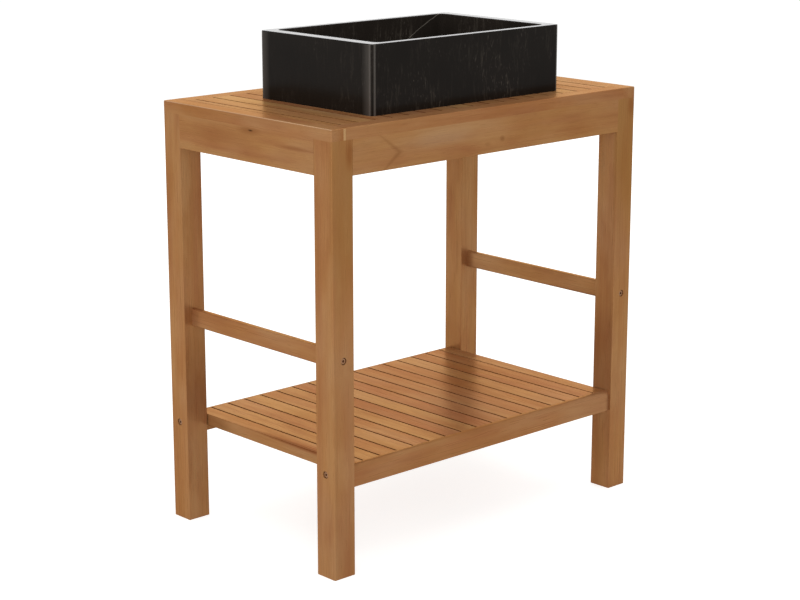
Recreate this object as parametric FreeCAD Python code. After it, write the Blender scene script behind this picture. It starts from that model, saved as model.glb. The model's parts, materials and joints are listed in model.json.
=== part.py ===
import FreeCAD, Part
import math
import os

# Wash stand of solid teak with a slatted top and shelf, carrying a stone vessel basin.
# Millimetres, +Z up, front towards -Y, origin on the floor under the middle of the stand.

# Stand as a whole
width = 740.0
depth = 450.0
stand_height = 770.0

# Legs
leg_side = 45.0
leg_corner_radius = 2.0
leg_edge_radius = 0.5

# Top: edge boards and slats, all of one thickness
top_thick = 20.0
board_width = 31.0
board_edge_radius = 1.6
top_slat_count = 17
top_slat_gap = 3.0
top_edge_slat_width = 15.0
slat_edge_radius = 0.5
tongue_thick = 8.0
tongue_long = 10.0
board_tongue_width = 14.0

# Aprons under the top, tenoned into the legs
apron_height = 60.0
apron_thick = 22.0
apron_edge_radius = 1.0
tenon_thick = 10.0
tenon_height = 40.0
tenon_long = 20.0

# Lower shelf: two long rails with slats let into a rebate
shelf_height = 194.0
shelf_slat_count = 15
shelf_slat_gap = 3.0
shelf_slat_thick = 21.0
shelf_edge_slat_width = 29.0
shelf_side_gap = 2.0
shelf_rail_height = 38.5
shelf_rail_thick = 20.0
shelf_rail_setback = 4.5
shelf_rail_lip = 10.5
shelf_rail_round = 9.5

# Rail at mid height on each side
side_rail_middle = 381.5
side_rail_height = 32.0
side_rail_thick = 12.0
side_rail_radius = 3.0

# Battens that tie the slats from below
batten_width = 40.0
batten_edge_radius = 2.0
top_batten_thick = 18.0
top_batten_spacing = 150.0
shelf_batten_thick = 14.0

# Furniture screws through the legs
counterbore_diameter = 12.5
counterbore_deep = 6.5
frame_screw_head_diameter = 11.0
frame_screw_head_high = 5.0
frame_screw_head_radius = 0.8
frame_screw_shank_diameter = 5.0
frame_screw_shank_long = 63.0
frame_screw_socket_flats = 4.0
frame_screw_socket_deep = 3.0

# Countersunk screws through the battens
slat_screw_head_diameter = 8.0
slat_screw_head_high = 2.5
slat_screw_diameter = 4.0
slat_screw_long = 30.0
slat_screw_socket_flats = 3.0
slat_screw_socket_deep = 1.8

# Stone basin
basin_width = 456.0
basin_depth = 294.0
basin_height = 120.0
basin_forward = 18.0
basin_corner_radius = 9.0
basin_side_wall = 25.0
basin_front_wall = 15.0
basin_floor_thick = 25.0
basin_inner_corner_radius = 12.0
basin_floor_radius = 14.0
basin_rim_radius = 1.8
basin_fall = 3.0
basin_fall_diameter = 220.0

# Waste outlet with a push-down plug
waste_hole_diameter = 46.0
waste_flange_diameter = 66.0
waste_flange_thick = 3.0
waste_flange_edge_radius = 1.0
waste_tail_diameter = 41.9
waste_tail_long = 77.0
waste_tail_free = 21.0
waste_groove_wide = 2.0
waste_groove_deep = 1.0
waste_bore_diameter = 34.0
waste_gasket_thick = 1.0
waste_washer_diameter = 76.0
waste_washer_thick = 3.0
waste_nut_flats = 58.0
waste_nut_high = 12.0
plug_bar_width = 6.0
plug_bar_high = 12.0
plug_bar_below_flange = 16.0
plug_boss_diameter = 16.0
plug_cap_diameter = 44.0
plug_cap_thick = 5.0
plug_cap_radius = 1.6
plug_seal_outer_diameter = 40.0
plug_seal_inner_diameter = 32.0
plug_seal_thick = 2.0
plug_stem_diameter = 10.0
plug_stem_long = 32.0

# Clearances, each per side, and the overrun of every cutting tool
wood_joint_clearance = 0.2
screw_clearance = 0.1
thread_clearance = 0.15
recess_clearance = 0.25
stem_clearance = 0.3
cut_over = 5.0

# Places worked out from the sizes above
half_width = width / 2
half_depth = depth / 2
leg_top = stand_height - top_thick
leg_inner_x = half_width - leg_side
leg_inner_y = half_depth - leg_side
leg_middle_x = half_width - leg_side / 2
leg_middle_y = half_depth - leg_side / 2
board_inner_x = half_width - board_width
board_inner_y = half_depth - board_width
tongue_low = leg_top + (top_thick - tongue_thick) / 2
tongue_high = tongue_low + tongue_thick
apron_low = leg_top - apron_height
tenon_low = apron_low + (apron_height - tenon_height) / 2
tenon_inset = (apron_thick - tenon_thick) / 2

top_field = 2 * (board_inner_x - top_edge_slat_width)
top_slat_width = (top_field - (top_slat_count + 1) * top_slat_gap) / top_slat_count

shelf_slat_low = shelf_height - shelf_slat_thick
shelf_slat_middle = shelf_height - shelf_slat_thick / 2
shelf_rail_low = shelf_height - shelf_rail_height
shelf_rail_outer_y = half_depth - shelf_rail_setback
shelf_slat_end_y = shelf_rail_outer_y - shelf_rail_lip
shelf_half_width = leg_inner_x - shelf_side_gap
shelf_field = 2 * (shelf_half_width - shelf_edge_slat_width)
shelf_slat_width = (shelf_field - (shelf_slat_count + 1) * shelf_slat_gap) / shelf_slat_count

basin_middle_y = -basin_forward
basin_floor_top = stand_height + basin_floor_thick
flange_top = basin_floor_top - basin_fall
flange_low = flange_top - waste_flange_thick
gasket_low = flange_low - waste_gasket_thick
tail_low = flange_low - waste_tail_long
plug_cap_low = flange_top + plug_seal_thick
batten_places_y = [basin_middle_y - top_batten_spacing / 2, basin_middle_y + top_batten_spacing / 2]


def block(x0, x1, y0, y1, z0, z1):
    """Box between three pairs of planes."""
    return Part.makeBox(x1 - x0, y1 - y0, z1 - z0, FreeCAD.Vector(x0, y0, z0))


def rod(radius, low, high, x=0, y=0):
    """Upright cylinder between two heights."""
    return Part.makeCylinder(radius, high - low, FreeCAD.Vector(x, y, low))


def eased(shape, radius, axis, keep=lambda middle: True):
    """Round the straight edges along one axis whose middle point passes the test."""
    chosen = []
    for edge in shape.Edges:
        run = edge.Vertexes[-1].Point - edge.Vertexes[0].Point
        straight = run.Length > 0 and abs(run.normalize().dot(axis)) > math.cos(math.radians(1))
        if straight and keep(edge.BoundBox.Center):
            chosen.append(edge)
    return shape.makeFillet(radius, chosen)


along_x = FreeCAD.Vector(1, 0, 0)
along_y = FreeCAD.Vector(0, 1, 0)
along_z = FreeCAD.Vector(0, 0, 1)


def mirrored_x(shape):
    """Copy on the other side of the stand, left for right."""
    return shape.mirror(FreeCAD.Vector(), along_x)


def mirrored_y(shape):
    """Copy on the other side of the stand, front for back."""
    return shape.mirror(FreeCAD.Vector(), along_y)


def hexagon(flats, low, high):
    """Upright six-sided prism, given by the width across its flats."""
    corner = flats / math.sqrt(3)
    turns = [math.pi * side / 3 for side in range(7)]
    points = [FreeCAD.Vector(corner * math.cos(turn), corner * math.sin(turn), low) for turn in turns]
    return Part.Face(Part.makePolygon(points)).extrude(FreeCAD.Vector(0, 0, high - low))


def placed(shape, outward, place):
    """Turn a shape made along +Z to point outward, and move it to its place."""
    moved = shape.copy()
    moved.Placement = FreeCAD.Placement(place, FreeCAD.Rotation(along_z, outward))
    return moved


# Furniture screws

def frame_screw():
    """Socket-head screw along +Z, with the underside of its head at the origin."""
    head = rod(frame_screw_head_diameter / 2, 0, frame_screw_head_high)
    rim = [edge for edge in head.Edges if edge.BoundBox.ZMin > frame_screw_head_high / 2]
    head = head.makeFillet(frame_screw_head_radius, rim)
    socket_low = frame_screw_head_high - frame_screw_socket_deep
    head = head.cut(hexagon(frame_screw_socket_flats, socket_low, frame_screw_head_high + cut_over))
    return head.fuse(rod(frame_screw_shank_diameter / 2, -frame_screw_shank_long, 0)).removeSplitter()


def frame_screw_bore():
    """Space that a furniture screw and its counterbore take in the wood."""
    shank_radius = frame_screw_shank_diameter / 2 + screw_clearance
    bore = rod(shank_radius, -frame_screw_shank_long - screw_clearance, 0)
    return bore.fuse(rod(counterbore_diameter / 2, 0, counterbore_deep + cut_over))


def frame_screw_places():
    """Direction and place of each furniture screw's head seat, front left leg first."""
    seats = []
    for side_x in (-1, 1):
        for side_y in (-1, 1):
            rail_seat_y = side_y * (half_depth - counterbore_deep)
            shelf_seat_x = side_x * (half_width - counterbore_deep)
            rail_seat = FreeCAD.Vector(side_x * leg_middle_x, rail_seat_y, side_rail_middle)
            shelf_seat = FreeCAD.Vector(shelf_seat_x, side_y * leg_middle_y, shelf_slat_middle)
            seats.append((along_y * side_y, rail_seat))
            seats.append((along_x * side_x, shelf_seat))
    return seats


frame_screw_bores = [placed(frame_screw_bore(), way, seat) for way, seat in frame_screw_places()]


def frame_screws():
    """All furniture screws of the stand."""
    return Part.makeCompound([placed(frame_screw(), way, seat) for way, seat in frame_screw_places()])


# Legs and aprons

def apron_front_tenons(gap):
    """The front apron's tenons, grown by a gap for their mortises."""
    reach = leg_inner_x + tenon_long + gap
    front = -half_depth + tenon_inset
    return block(-reach, reach, front - gap, front + tenon_thick + gap,
                 tenon_low - gap, tenon_low + tenon_height + gap)


def apron_left_tenons(gap):
    """The left apron's tenons, grown by a gap for their mortises."""
    reach = leg_inner_y + tenon_long + gap
    left = -half_width + tenon_inset
    return block(left - gap, left + tenon_thick + gap, -reach, reach,
                 tenon_low - gap, tenon_low + tenon_height + gap)


def leg_front_left():
    """Square leg, rounded most at its outer corner, with mortises for two aprons and screw holes."""
    leg = block(-half_width, -leg_inner_x, -half_depth, -leg_inner_y, 0, leg_top)
    leg = eased(leg, leg_corner_radius, along_z,
                lambda middle: middle.x < -leg_middle_x and middle.y < -leg_middle_y)
    leg = eased(leg, leg_edge_radius, along_z,
                lambda middle: middle.x > -leg_middle_x or middle.y > -leg_middle_y)
    leg = leg.cut(apron_front_tenons(wood_joint_clearance))
    leg = leg.cut(apron_left_tenons(wood_joint_clearance))
    return leg.cut(Part.makeCompound(frame_screw_bores))


def apron_front():
    """Front apron, flush with the legs, with a tenon at each end."""
    apron = block(-leg_inner_x, leg_inner_x, -half_depth, -half_depth + apron_thick, apron_low, leg_top)
    apron = eased(apron, apron_edge_radius, along_x, lambda middle: middle.z < leg_top - apron_height / 2)
    return apron.fuse(apron_front_tenons(0)).removeSplitter()


def apron_left():
    """Left apron, flush with the legs, with a tenon at each end."""
    apron = block(-half_width, -half_width + apron_thick, -leg_inner_y, leg_inner_y, apron_low, leg_top)
    apron = eased(apron, apron_edge_radius, along_y, lambda middle: middle.z < leg_top - apron_height / 2)
    return apron.fuse(apron_left_tenons(0)).removeSplitter()


# Battens and their screws

def slat_screw(gap):
    """Countersunk screw pointing up, with its head's flat face at the origin."""
    head_radius = slat_screw_head_diameter / 2 + gap
    shank_radius = slat_screw_diameter / 2 + gap
    head = Part.makeCone(head_radius, shank_radius, slat_screw_head_high)
    return head.fuse(rod(shank_radius, slat_screw_head_high, slat_screw_long + gap)).removeSplitter()


def slat_middles(count, slat_width, gap):
    """Middle of each slat across the stand, from left to right."""
    pitch = slat_width + gap
    return [(index - (count - 1) / 2) * pitch for index in range(count)]


top_slat_places_x = slat_middles(top_slat_count, top_slat_width, top_slat_gap)
top_edge_slat_x = board_inner_x - top_edge_slat_width / 2
shelf_slat_places_x = slat_middles(shelf_slat_count, shelf_slat_width, shelf_slat_gap)


def slat_screw_places():
    """Place of each batten screw's head, on the underside of its batten."""
    places = []
    for y in batten_places_y:
        for x in [-top_edge_slat_x] + top_slat_places_x + [top_edge_slat_x]:
            places.append(FreeCAD.Vector(x, y, leg_top - top_batten_thick))
    for x in shelf_slat_places_x:
        places.append(FreeCAD.Vector(x, 0, shelf_slat_low - shelf_batten_thick))
    return places


slat_screw_bores = [placed(slat_screw(screw_clearance), along_z, place) for place in slat_screw_places()]


def slat_screws():
    """All batten screws of the top and the shelf."""
    socket = hexagon(slat_screw_socket_flats, -cut_over, slat_screw_socket_deep)
    screw = slat_screw(0).cut(socket)
    return Part.makeCompound([placed(screw, along_z, place) for place in slat_screw_places()])


def without_bores(shape, bores):
    """Cut the bores that reach into a shape's box out of it."""
    near = [bore for bore in bores if bore.BoundBox.intersect(shape.BoundBox)]
    return shape.cut(Part.makeCompound(near)) if near else shape


def batten(half_long, y, low, high):
    """Flat batten along the stand, with its lower long edges eased and its screw holes."""
    bar = block(-half_long, half_long, y - batten_width / 2, y + batten_width / 2, low, high)
    bar = eased(bar, batten_edge_radius, along_x, lambda middle: middle.z < (low + high) / 2)
    return without_bores(bar, slat_screw_bores)


def top_battens():
    """Two battens under the top, in front of and behind the waste."""
    half_long = half_width - apron_thick
    low = leg_top - top_batten_thick
    return Part.makeCompound([batten(half_long, y, low, leg_top) for y in batten_places_y])


def shelf_batten():
    """One batten under the shelf's full slats."""
    return batten(shelf_field / 2, 0, shelf_slat_low - shelf_batten_thick, shelf_slat_low)


# Top boards and slats

def waste_hole():
    """Hole for the waste's tail through basin floor and top slats."""
    return rod(waste_hole_diameter / 2, leg_top - cut_over, basin_floor_top + cut_over, 0, basin_middle_y)


def board_end_tongues(gap):
    """Tongues on the front board's ends, grown by a gap for their mortises."""
    reach = board_inner_x + tongue_long + gap
    middle_y = -half_depth + (board_width - tongue_long) / 2
    half_tongue = board_tongue_width / 2 + gap
    return block(-reach, reach, middle_y - half_tongue, middle_y + half_tongue,
                 tongue_low - gap, tongue_high + gap)


def top_board_front():
    """Front edge board, grooved for the slats, with a tongue at each end."""
    board = block(-board_inner_x, board_inner_x, -half_depth, -board_inner_y, leg_top, stand_height)
    upper = stand_height - top_thick / 2
    middle_y = -half_depth + board_width / 2
    board = eased(board, board_edge_radius, along_x,
                  lambda middle: middle.z > upper and middle.y < middle_y)
    board = eased(board, slat_edge_radius, along_x,
                  lambda middle: middle.z > upper and middle.y > middle_y)
    groove_deep = tongue_long + wood_joint_clearance
    groove = block(-board_inner_x - cut_over, board_inner_x + cut_over,
                   -board_inner_y - groove_deep, -board_inner_y + cut_over,
                   tongue_low - wood_joint_clearance, tongue_high + wood_joint_clearance)
    return board.cut(groove).fuse(board_end_tongues(0).cut(groove)).removeSplitter()


def top_board_left():
    """Left edge board over the legs, mortised for the front and back boards."""
    board = block(-half_width, -board_inner_x, -half_depth, half_depth, leg_top, stand_height)
    board = eased(board, leg_corner_radius, along_z, lambda middle: middle.x < -leg_middle_x)
    upper = [edge for edge in board.Edges if edge.BoundBox.ZMin > stand_height - top_thick / 2]
    board = board.makeFillet(board_edge_radius, upper)
    mortise = board_end_tongues(wood_joint_clearance)
    return board.cut(mortise).cut(mirrored_y(mortise))


def slat(x0, x1, end_y, low, high):
    """Slat from front to back with its upper long edges eased."""
    bar = block(x0, x1, -end_y, end_y, low, high)
    return eased(bar, slat_edge_radius, along_y, lambda middle: middle.z > (low + high) / 2)


def top_slat(x, slat_width):
    """Top slat with a tongue at each end, cut where the waste and the batten screws pass."""
    x0 = x - slat_width / 2
    x1 = x + slat_width / 2
    reach = board_inner_y + tongue_long
    bar = slat(x0, x1, board_inner_y, leg_top, stand_height)
    bar = bar.fuse(block(x0, x1, -reach, reach, tongue_low, tongue_high)).removeSplitter()
    return without_bores(bar, slat_screw_bores + [waste_hole()])


def top_edge_slats():
    """Narrow slats beside the left and right edge boards."""
    places = [-top_edge_slat_x, top_edge_slat_x]
    return Part.makeCompound([top_slat(x, top_edge_slat_width) for x in places])


# Shelf rails and slats

def shelf_rail_front():
    """Front shelf rail with a rounded front lip and a rebate for the slat ends."""
    inner_y = -shelf_rail_outer_y + shelf_rail_thick
    rail = block(-leg_inner_x, leg_inner_x, -shelf_rail_outer_y, inner_y, shelf_rail_low, shelf_height)
    middle_y = inner_y - shelf_rail_thick / 2
    middle_z = shelf_height - shelf_rail_height / 2
    rail = eased(rail, shelf_rail_round, along_x,
                 lambda middle: middle.y < middle_y and middle.z > middle_z)
    rebate = block(-leg_inner_x - cut_over, leg_inner_x + cut_over, -shelf_slat_end_y, inner_y + cut_over,
                   shelf_slat_low, shelf_height + cut_over)
    return rail.cut(rebate)


def shelf_slat(x, slat_width):
    """Shelf slat resting in the rails' rebates, with its batten and leg screw holes."""
    end_y = shelf_slat_end_y - wood_joint_clearance
    bar = slat(x - slat_width / 2, x + slat_width / 2, end_y, shelf_slat_low, shelf_height)
    return without_bores(bar, slat_screw_bores + frame_screw_bores)


def shelf_edge_slats():
    """Narrower slats beside the legs, which take the shelf's furniture screws."""
    x = shelf_half_width - shelf_edge_slat_width / 2
    return Part.makeCompound([shelf_slat(-x, shelf_edge_slat_width), shelf_slat(x, shelf_edge_slat_width)])


def side_rail_left():
    """Flat rail between the left legs with rounded long edges."""
    half_thick = side_rail_thick / 2
    half_high = side_rail_height / 2
    rail = block(-leg_middle_x - half_thick, -leg_middle_x + half_thick, -leg_inner_y, leg_inner_y,
                 side_rail_middle - half_high, side_rail_middle + half_high)
    return without_bores(eased(rail, side_rail_radius, along_y), frame_screw_bores)


# Basin and waste

def rounded_block(half_x, half_y, low, high, corner_radius):
    """Upright block about the basin's middle with rounded corners."""
    shape = block(-half_x, half_x, basin_middle_y - half_y, basin_middle_y + half_y, low, high)
    return eased(shape, corner_radius, along_z)


def basin():
    """Stone vessel basin with a floor that falls to its waste hole."""
    half_x = basin_width / 2
    half_y = basin_depth / 2
    rim = stand_height + basin_height
    stone = rounded_block(half_x, half_y, stand_height, rim, basin_corner_radius)
    hollow = rounded_block(half_x - basin_side_wall, half_y - basin_front_wall, basin_floor_top,
                           rim + cut_over, basin_inner_corner_radius)
    floor_edges = [edge for edge in hollow.Edges if edge.BoundBox.ZMax < rim - basin_height / 2]
    stone = stone.cut(hollow.makeFillet(basin_floor_radius, floor_edges))
    rim_edges = [edge for edge in stone.Edges if edge.BoundBox.ZMin > rim - basin_rim_radius]
    stone = stone.makeFillet(basin_rim_radius, rim_edges)
    flange_radius = waste_flange_diameter / 2 + recess_clearance
    middle = FreeCAD.Vector(0, basin_middle_y, flange_top)
    fall = Part.makeCone(flange_radius, basin_fall_diameter / 2, basin_fall, middle)
    recess = rod(flange_radius, gasket_low, basin_floor_top + cut_over, 0, basin_middle_y)
    return stone.cut(fall).cut(recess).cut(waste_hole())


def ring(outer_radius, inner_radius, low, high):
    """Flat ring about the waste's axis."""
    hole = rod(inner_radius, low - cut_over, high + cut_over, 0, basin_middle_y)
    return rod(outer_radius, low, high, 0, basin_middle_y).cut(hole)


def waste_body():
    """Flanged waste whose threaded tail ends under a groove, with a bar in its bore to guide the plug."""
    tail_radius = waste_tail_diameter / 2
    flange = rod(waste_flange_diameter / 2, flange_low, flange_top, 0, basin_middle_y)
    upper = [edge for edge in flange.Edges if edge.BoundBox.ZMin > flange_top - waste_flange_thick / 2]
    flange = flange.makeFillet(waste_flange_edge_radius, upper)
    bore = rod(waste_bore_diameter / 2, tail_low - cut_over, flange_top + cut_over, 0, basin_middle_y)
    tube = flange.fuse(rod(tail_radius, tail_low, flange_low, 0, basin_middle_y)).cut(bore)
    groove_low = tail_low + waste_tail_free
    groove_high = groove_low + waste_groove_wide
    tube = tube.cut(ring(tail_radius + cut_over, tail_radius - waste_groove_deep, groove_low, groove_high))
    bar_high = flange_low - plug_bar_below_flange
    bar_low = bar_high - plug_bar_high
    half_bar = plug_bar_width / 2
    reach = (tail_radius + waste_bore_diameter / 2) / 2
    bar = block(-reach, reach, basin_middle_y - half_bar, basin_middle_y + half_bar, bar_low, bar_high)
    guide_radius = plug_stem_diameter / 2 + stem_clearance
    guide = rod(guide_radius, bar_low - cut_over, bar_high + cut_over, 0, basin_middle_y)
    boss = rod(plug_boss_diameter / 2, bar_low, bar_high, 0, basin_middle_y)
    return tube.fuse(bar).fuse(boss).cut(guide).removeSplitter()


def waste_seals():
    """Gasket under the flange and thick washer under the top."""
    inner = waste_tail_diameter / 2 + thread_clearance
    gasket = ring(waste_flange_diameter / 2, inner, gasket_low, flange_low)
    washer = ring(waste_washer_diameter / 2, inner, leg_top - waste_washer_thick, leg_top)
    return Part.makeCompound([gasket, washer])


def waste_nut():
    """Six-sided back nut that clamps basin and top."""
    high = leg_top - waste_washer_thick
    low = high - waste_nut_high
    nut = hexagon(waste_nut_flats, low, high)
    nut.translate(FreeCAD.Vector(0, basin_middle_y, 0))
    inner = waste_tail_diameter / 2 + thread_clearance
    return nut.cut(rod(inner, low - cut_over, high + cut_over, 0, basin_middle_y))


def plug_seal():
    """Seal ring that closes the plug on the flange."""
    return ring(plug_seal_outer_diameter / 2, plug_seal_inner_diameter / 2, flange_top, plug_cap_low)


def waste_plug():
    """Round plug with a guided stem."""
    cap_high = plug_cap_low + plug_cap_thick
    cap = rod(plug_cap_diameter / 2, plug_cap_low, cap_high, 0, basin_middle_y)
    upper = [edge for edge in cap.Edges if edge.BoundBox.ZMin > cap_high - plug_cap_thick / 2]
    cap = cap.makeFillet(plug_cap_radius, upper)
    stem = rod(plug_stem_diameter / 2, plug_cap_low - plug_stem_long, plug_cap_low, 0, basin_middle_y)
    return cap.fuse(stem).removeSplitter()


# All pieces by name

pieces = {
    "leg_front_left": leg_front_left(),
    "apron_front": apron_front(),
    "apron_left": apron_left(),
    "top_board_front": top_board_front(),
    "top_board_left": top_board_left(),
    "shelf_rail_front": shelf_rail_front(),
    "side_rail_left": side_rail_left(),
}
pieces["leg_front_right"] = mirrored_x(pieces["leg_front_left"])
pieces["leg_back_left"] = mirrored_y(pieces["leg_front_left"])
pieces["leg_back_right"] = mirrored_x(pieces["leg_back_left"])
for name in ("apron", "top_board", "shelf_rail"):
    pieces[name + "_back"] = mirrored_y(pieces[name + "_front"])
for name in ("apron", "top_board", "side_rail"):
    pieces[name + "_right"] = mirrored_x(pieces[name + "_left"])

for number, x in enumerate(top_slat_places_x, 1):
    pieces["top_slat_%02d" % number] = top_slat(x, top_slat_width)
for number, x in enumerate(shelf_slat_places_x, 1):
    pieces["shelf_slat_%02d" % number] = shelf_slat(x, shelf_slat_width)

pieces["top_edge_slats"] = top_edge_slats()
pieces["shelf_edge_slats"] = shelf_edge_slats()
pieces["top_battens"] = top_battens()
pieces["shelf_batten"] = shelf_batten()
pieces["frame_screws"] = frame_screws()
pieces["slat_screws"] = slat_screws()
pieces["basin"] = basin()
pieces["waste_body"] = waste_body()
pieces["waste_seals"] = waste_seals()
pieces["waste_nut"] = waste_nut()
pieces["waste_plug"] = waste_plug()
pieces["plug_seal"] = plug_seal()

os.makedirs("parts", exist_ok=True)
for name, shape in pieces.items():
    shape.exportStep("parts/%s.step" % name)
print(len(pieces), "pieces; slat widths", round(top_slat_width, 2), round(shelf_slat_width, 2))
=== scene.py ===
# %% [markdown]
# # A slatted teak wash stand with a black marble basin
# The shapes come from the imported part: legs, aprons, slats, rails, screws, basin and waste, with eased edges
# and joints already cut. They could be modelled again in Blender, but two models of one stand would drift
# apart, so the solids are used as they are. Blender's work in this lesson is the finish: oiled teak whose
# grain runs along every stick, honed black marble, and the metal and rubber of the small pieces.

# %% Load the part
import json
import math
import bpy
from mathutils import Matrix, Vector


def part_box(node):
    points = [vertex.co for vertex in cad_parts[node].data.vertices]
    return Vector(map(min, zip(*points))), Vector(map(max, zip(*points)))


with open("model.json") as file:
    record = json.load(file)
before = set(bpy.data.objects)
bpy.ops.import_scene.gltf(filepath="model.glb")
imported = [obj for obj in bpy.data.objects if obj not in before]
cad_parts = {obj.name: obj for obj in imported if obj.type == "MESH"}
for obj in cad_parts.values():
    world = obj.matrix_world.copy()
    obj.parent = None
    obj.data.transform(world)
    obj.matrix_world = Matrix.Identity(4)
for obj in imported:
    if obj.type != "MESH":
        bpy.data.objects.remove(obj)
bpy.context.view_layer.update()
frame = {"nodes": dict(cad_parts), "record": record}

from types import SimpleNamespace

import bpy
from mathutils import Vector

MM = 0.001
nodes = frame["nodes"]

# %% [markdown]
# ## Colours
# Colours are written as sRGB hex values, the way a colour picker shows them. Shaders calculate in linear
# light, so one function turns a hex value into linear numbers.

# %% Colour helper


def linear(hex_value):
    """sRGB hex text to a linear colour with alpha 1."""
    channels = [int(hex_value[i:i + 2], 16) / 255 for i in (1, 3, 5)]
    return [c / 12.92 if c <= 0.04045 else ((c + 0.055) / 1.055) ** 2.4 for c in channels] + [1.0]


print("mid teak in linear light:", [round(c, 3) for c in linear("#AD7C4E")])

# %% [markdown]
# ## Materials as networks
# A material is a small network of nodes. One function adds a node, sets its options, and fills its sockets
# with values or with the outputs of other nodes, so each network below reads as a list of what feeds what.
# A material in the making is kept as one bundle: the material, its tree, and later its colour so far.

# %% Node helper


def add(tree, kind, sockets=None, **settings):
    """Add a node; sockets maps a socket's name or number to a value or to another node's output."""
    made = tree.nodes.new("ShaderNode" + kind)
    for name, value in settings.items():
        setattr(made, name, value)
    for name, value in (sockets or {}).items():
        if isinstance(value, bpy.types.NodeSocket):
            tree.links.new(value, made.inputs[name])
        else:
            made.inputs[name].default_value = value
    return made


def new_finish(name):
    """Start a finish: an empty material with its output node."""
    material = bpy.data.materials.new(name)
    material.use_nodes = True
    tree = material.node_tree
    tree.nodes.clear()
    return SimpleNamespace(material=material, tree=tree, output=add(tree, "OutputMaterial"))


def tint(finish, pattern, start, full, amount, shade):
    """Blend a finish's colour towards a shade where a pattern passes from start to full."""
    share = add(finish.tree, "MapRange", {"Value": pattern, "From Min": start, "From Max": full,
                                          "To Max": amount}).outputs["Result"]
    blend = add(finish.tree, "Mix", {0: share, 6: finish.colour, 7: linear(shade)}, data_type="RGBA")
    finish.colour = blend.outputs[2]


slot_of = {row["node"]: row["material_slot"] for row in frame["record"]["subparts"]}
print("slots to dress:", sorted(set(slot_of.values())))

# %% [markdown]
# ## Oiled teak: a stick's place in its log
# Every stick was sawn from a log, so its figure is a slice through growth rings: flames on the broad faces,
# fine lines on the quarter faces, arcs on the ends. A picture wrapped round a stick would break at its edges.
# So the grain is worked out in space instead: each point of a stick gets a place in an imagined log, and all
# faces cut through the same rings. The object's pass index moves the stick to another part of the log, so
# that no two sticks share a figure.

# %% Place in the log
GRAIN_ORDER = {"X": "YZX", "Y": "XZY", "Z": "XYZ"}
LOG_SPREAD = 0.6


def stick_in_log(name, axis):
    """Start a teak finish with each point's place in the log: across, across and along the grain."""
    wood = new_finish(name)
    tree = wood.tree
    wood.axis = axis
    wood.point = add(tree, "TexCoord").outputs["Object"]
    number = add(tree, "ObjectInfo").outputs["Object Index"]
    wood.chance = add(tree, "TexWhiteNoise", {"W": number}, noise_dimensions="1D").outputs["Color"]
    moved = add(tree, "VectorMath", {0: wood.chance, 1: [LOG_SPREAD] * 3, 2: wood.point},
                operation="MULTIPLY_ADD")
    ways = add(tree, "SeparateXYZ", {0: moved.outputs[0]}).outputs
    turned = {i: ways[letter] for i, letter in enumerate(GRAIN_ORDER[axis])}
    wood.log = add(tree, "CombineXYZ", turned).outputs[0]
    normal = add(tree, "NewGeometry").outputs["True Normal"]
    wood.facing = add(tree, "SeparateXYZ", {0: normal}).outputs
    return wood


print("sticks lie up to", LOG_SPREAD, "m apart in the log")

# %% [markdown]
# ## Oiled teak: the figure
# Wood shows patterns of many sizes at once: clouds and bands of tone, mineral streaks, fibres and open pores.
# All are longer along the grain than across it, so each is a noise stretched along the stick, given by its
# width and length in millimetres. Painting them would fix them to one stick. Noise in space serves them all.

# %% Figure
BAND_MM = (17, 420)
CLOUD_MM = (44, 140)
BLUSH_MM = (75, 210)
STREAK_MM = (6, 320)
# Real fibres and pores are at most a few tenths of a millimetre wide. They are drawn coarser, to show.
FIBRE_MM = (2.4, 90)
PORE_MM = (1.4, 20)


def drawn_out(wood, size_mm, detail):
    """Noise stretched along the grain, from its width and length in millimetres."""
    wide, long = (size * MM for size in size_mm)
    scale = (1 / wide, 1 / wide, 1 / long)
    place = add(wood.tree, "VectorMath", {0: wood.log, 1: scale}, operation="MULTIPLY").outputs[0]
    noise = add(wood.tree, "TexNoise", {"Vector": place, "Scale": 1.0, "Detail": detail})
    return noise.outputs["Fac"]


def add_figure(wood):
    """Give a stick its tones and its lines."""
    wood.bands = drawn_out(wood, BAND_MM, detail=2)
    wood.clouds = drawn_out(wood, CLOUD_MM, detail=3)
    wood.blush = drawn_out(wood, BLUSH_MM, detail=2)
    wood.streaks = drawn_out(wood, STREAK_MM, detail=3)
    wood.fibres = drawn_out(wood, FIBRE_MM, detail=2)
    wood.pores = drawn_out(wood, PORE_MM, detail=1)


print("figure from", PORE_MM[0], "to", BLUSH_MM[0], "mm wide")

# %% [markdown]
# ## Oiled teak: growth rings
# A ring is all wood at one distance from the pith. Rings could be drawn one by one, but that distance, going
# up and down again like a wave, gives all of them at once. The log leans a little to the stick, which makes
# long flames, and the clouds bend the rings so that the flames wander as they do in a real trunk.

# %% Growth rings
# Real rings lie two to four millimetres apart. They are drawn wider so that they show.
RING_MM = 6.5
LOG_LEAN = 0.012
RING_WANDER = 6.0


def add_rings(wood):
    """Give a stick its growth rings."""
    tree = wood.tree
    leaning = add(tree, "VectorMath", {0: wood.log, 1: (1, 1, LOG_LEAN)}, operation="MULTIPLY").outputs[0]
    radius = add(tree, "VectorMath", {0: leaning}, operation="LENGTH").outputs["Value"]
    turns = add(tree, "Math", {0: radius, 1: 1 / (RING_MM * MM)}, operation="MULTIPLY").outputs[0]
    bent = add(tree, "Math", {0: wood.clouds, 1: RING_WANDER, 2: turns}, operation="MULTIPLY_ADD").outputs[0]
    wood.rings = add(tree, "Math", {0: bent, 1: 1.0}, operation="PINGPONG").outputs[0]


print("rings every", RING_MM, "mm")

# %% [markdown]
# ## Oiled teak: the colours
# Each stick has its own tone between salmon and straw, and every pattern of the figure tints it a little. One
# ramp of colour would make all sticks alike. The tints stand in two tables, broad tones and fine lines, so
# that the lines alone can be made bolder on the slats. A row gives the pattern, where it starts, where it is
# full, how strong it is, and its shade.

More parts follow.
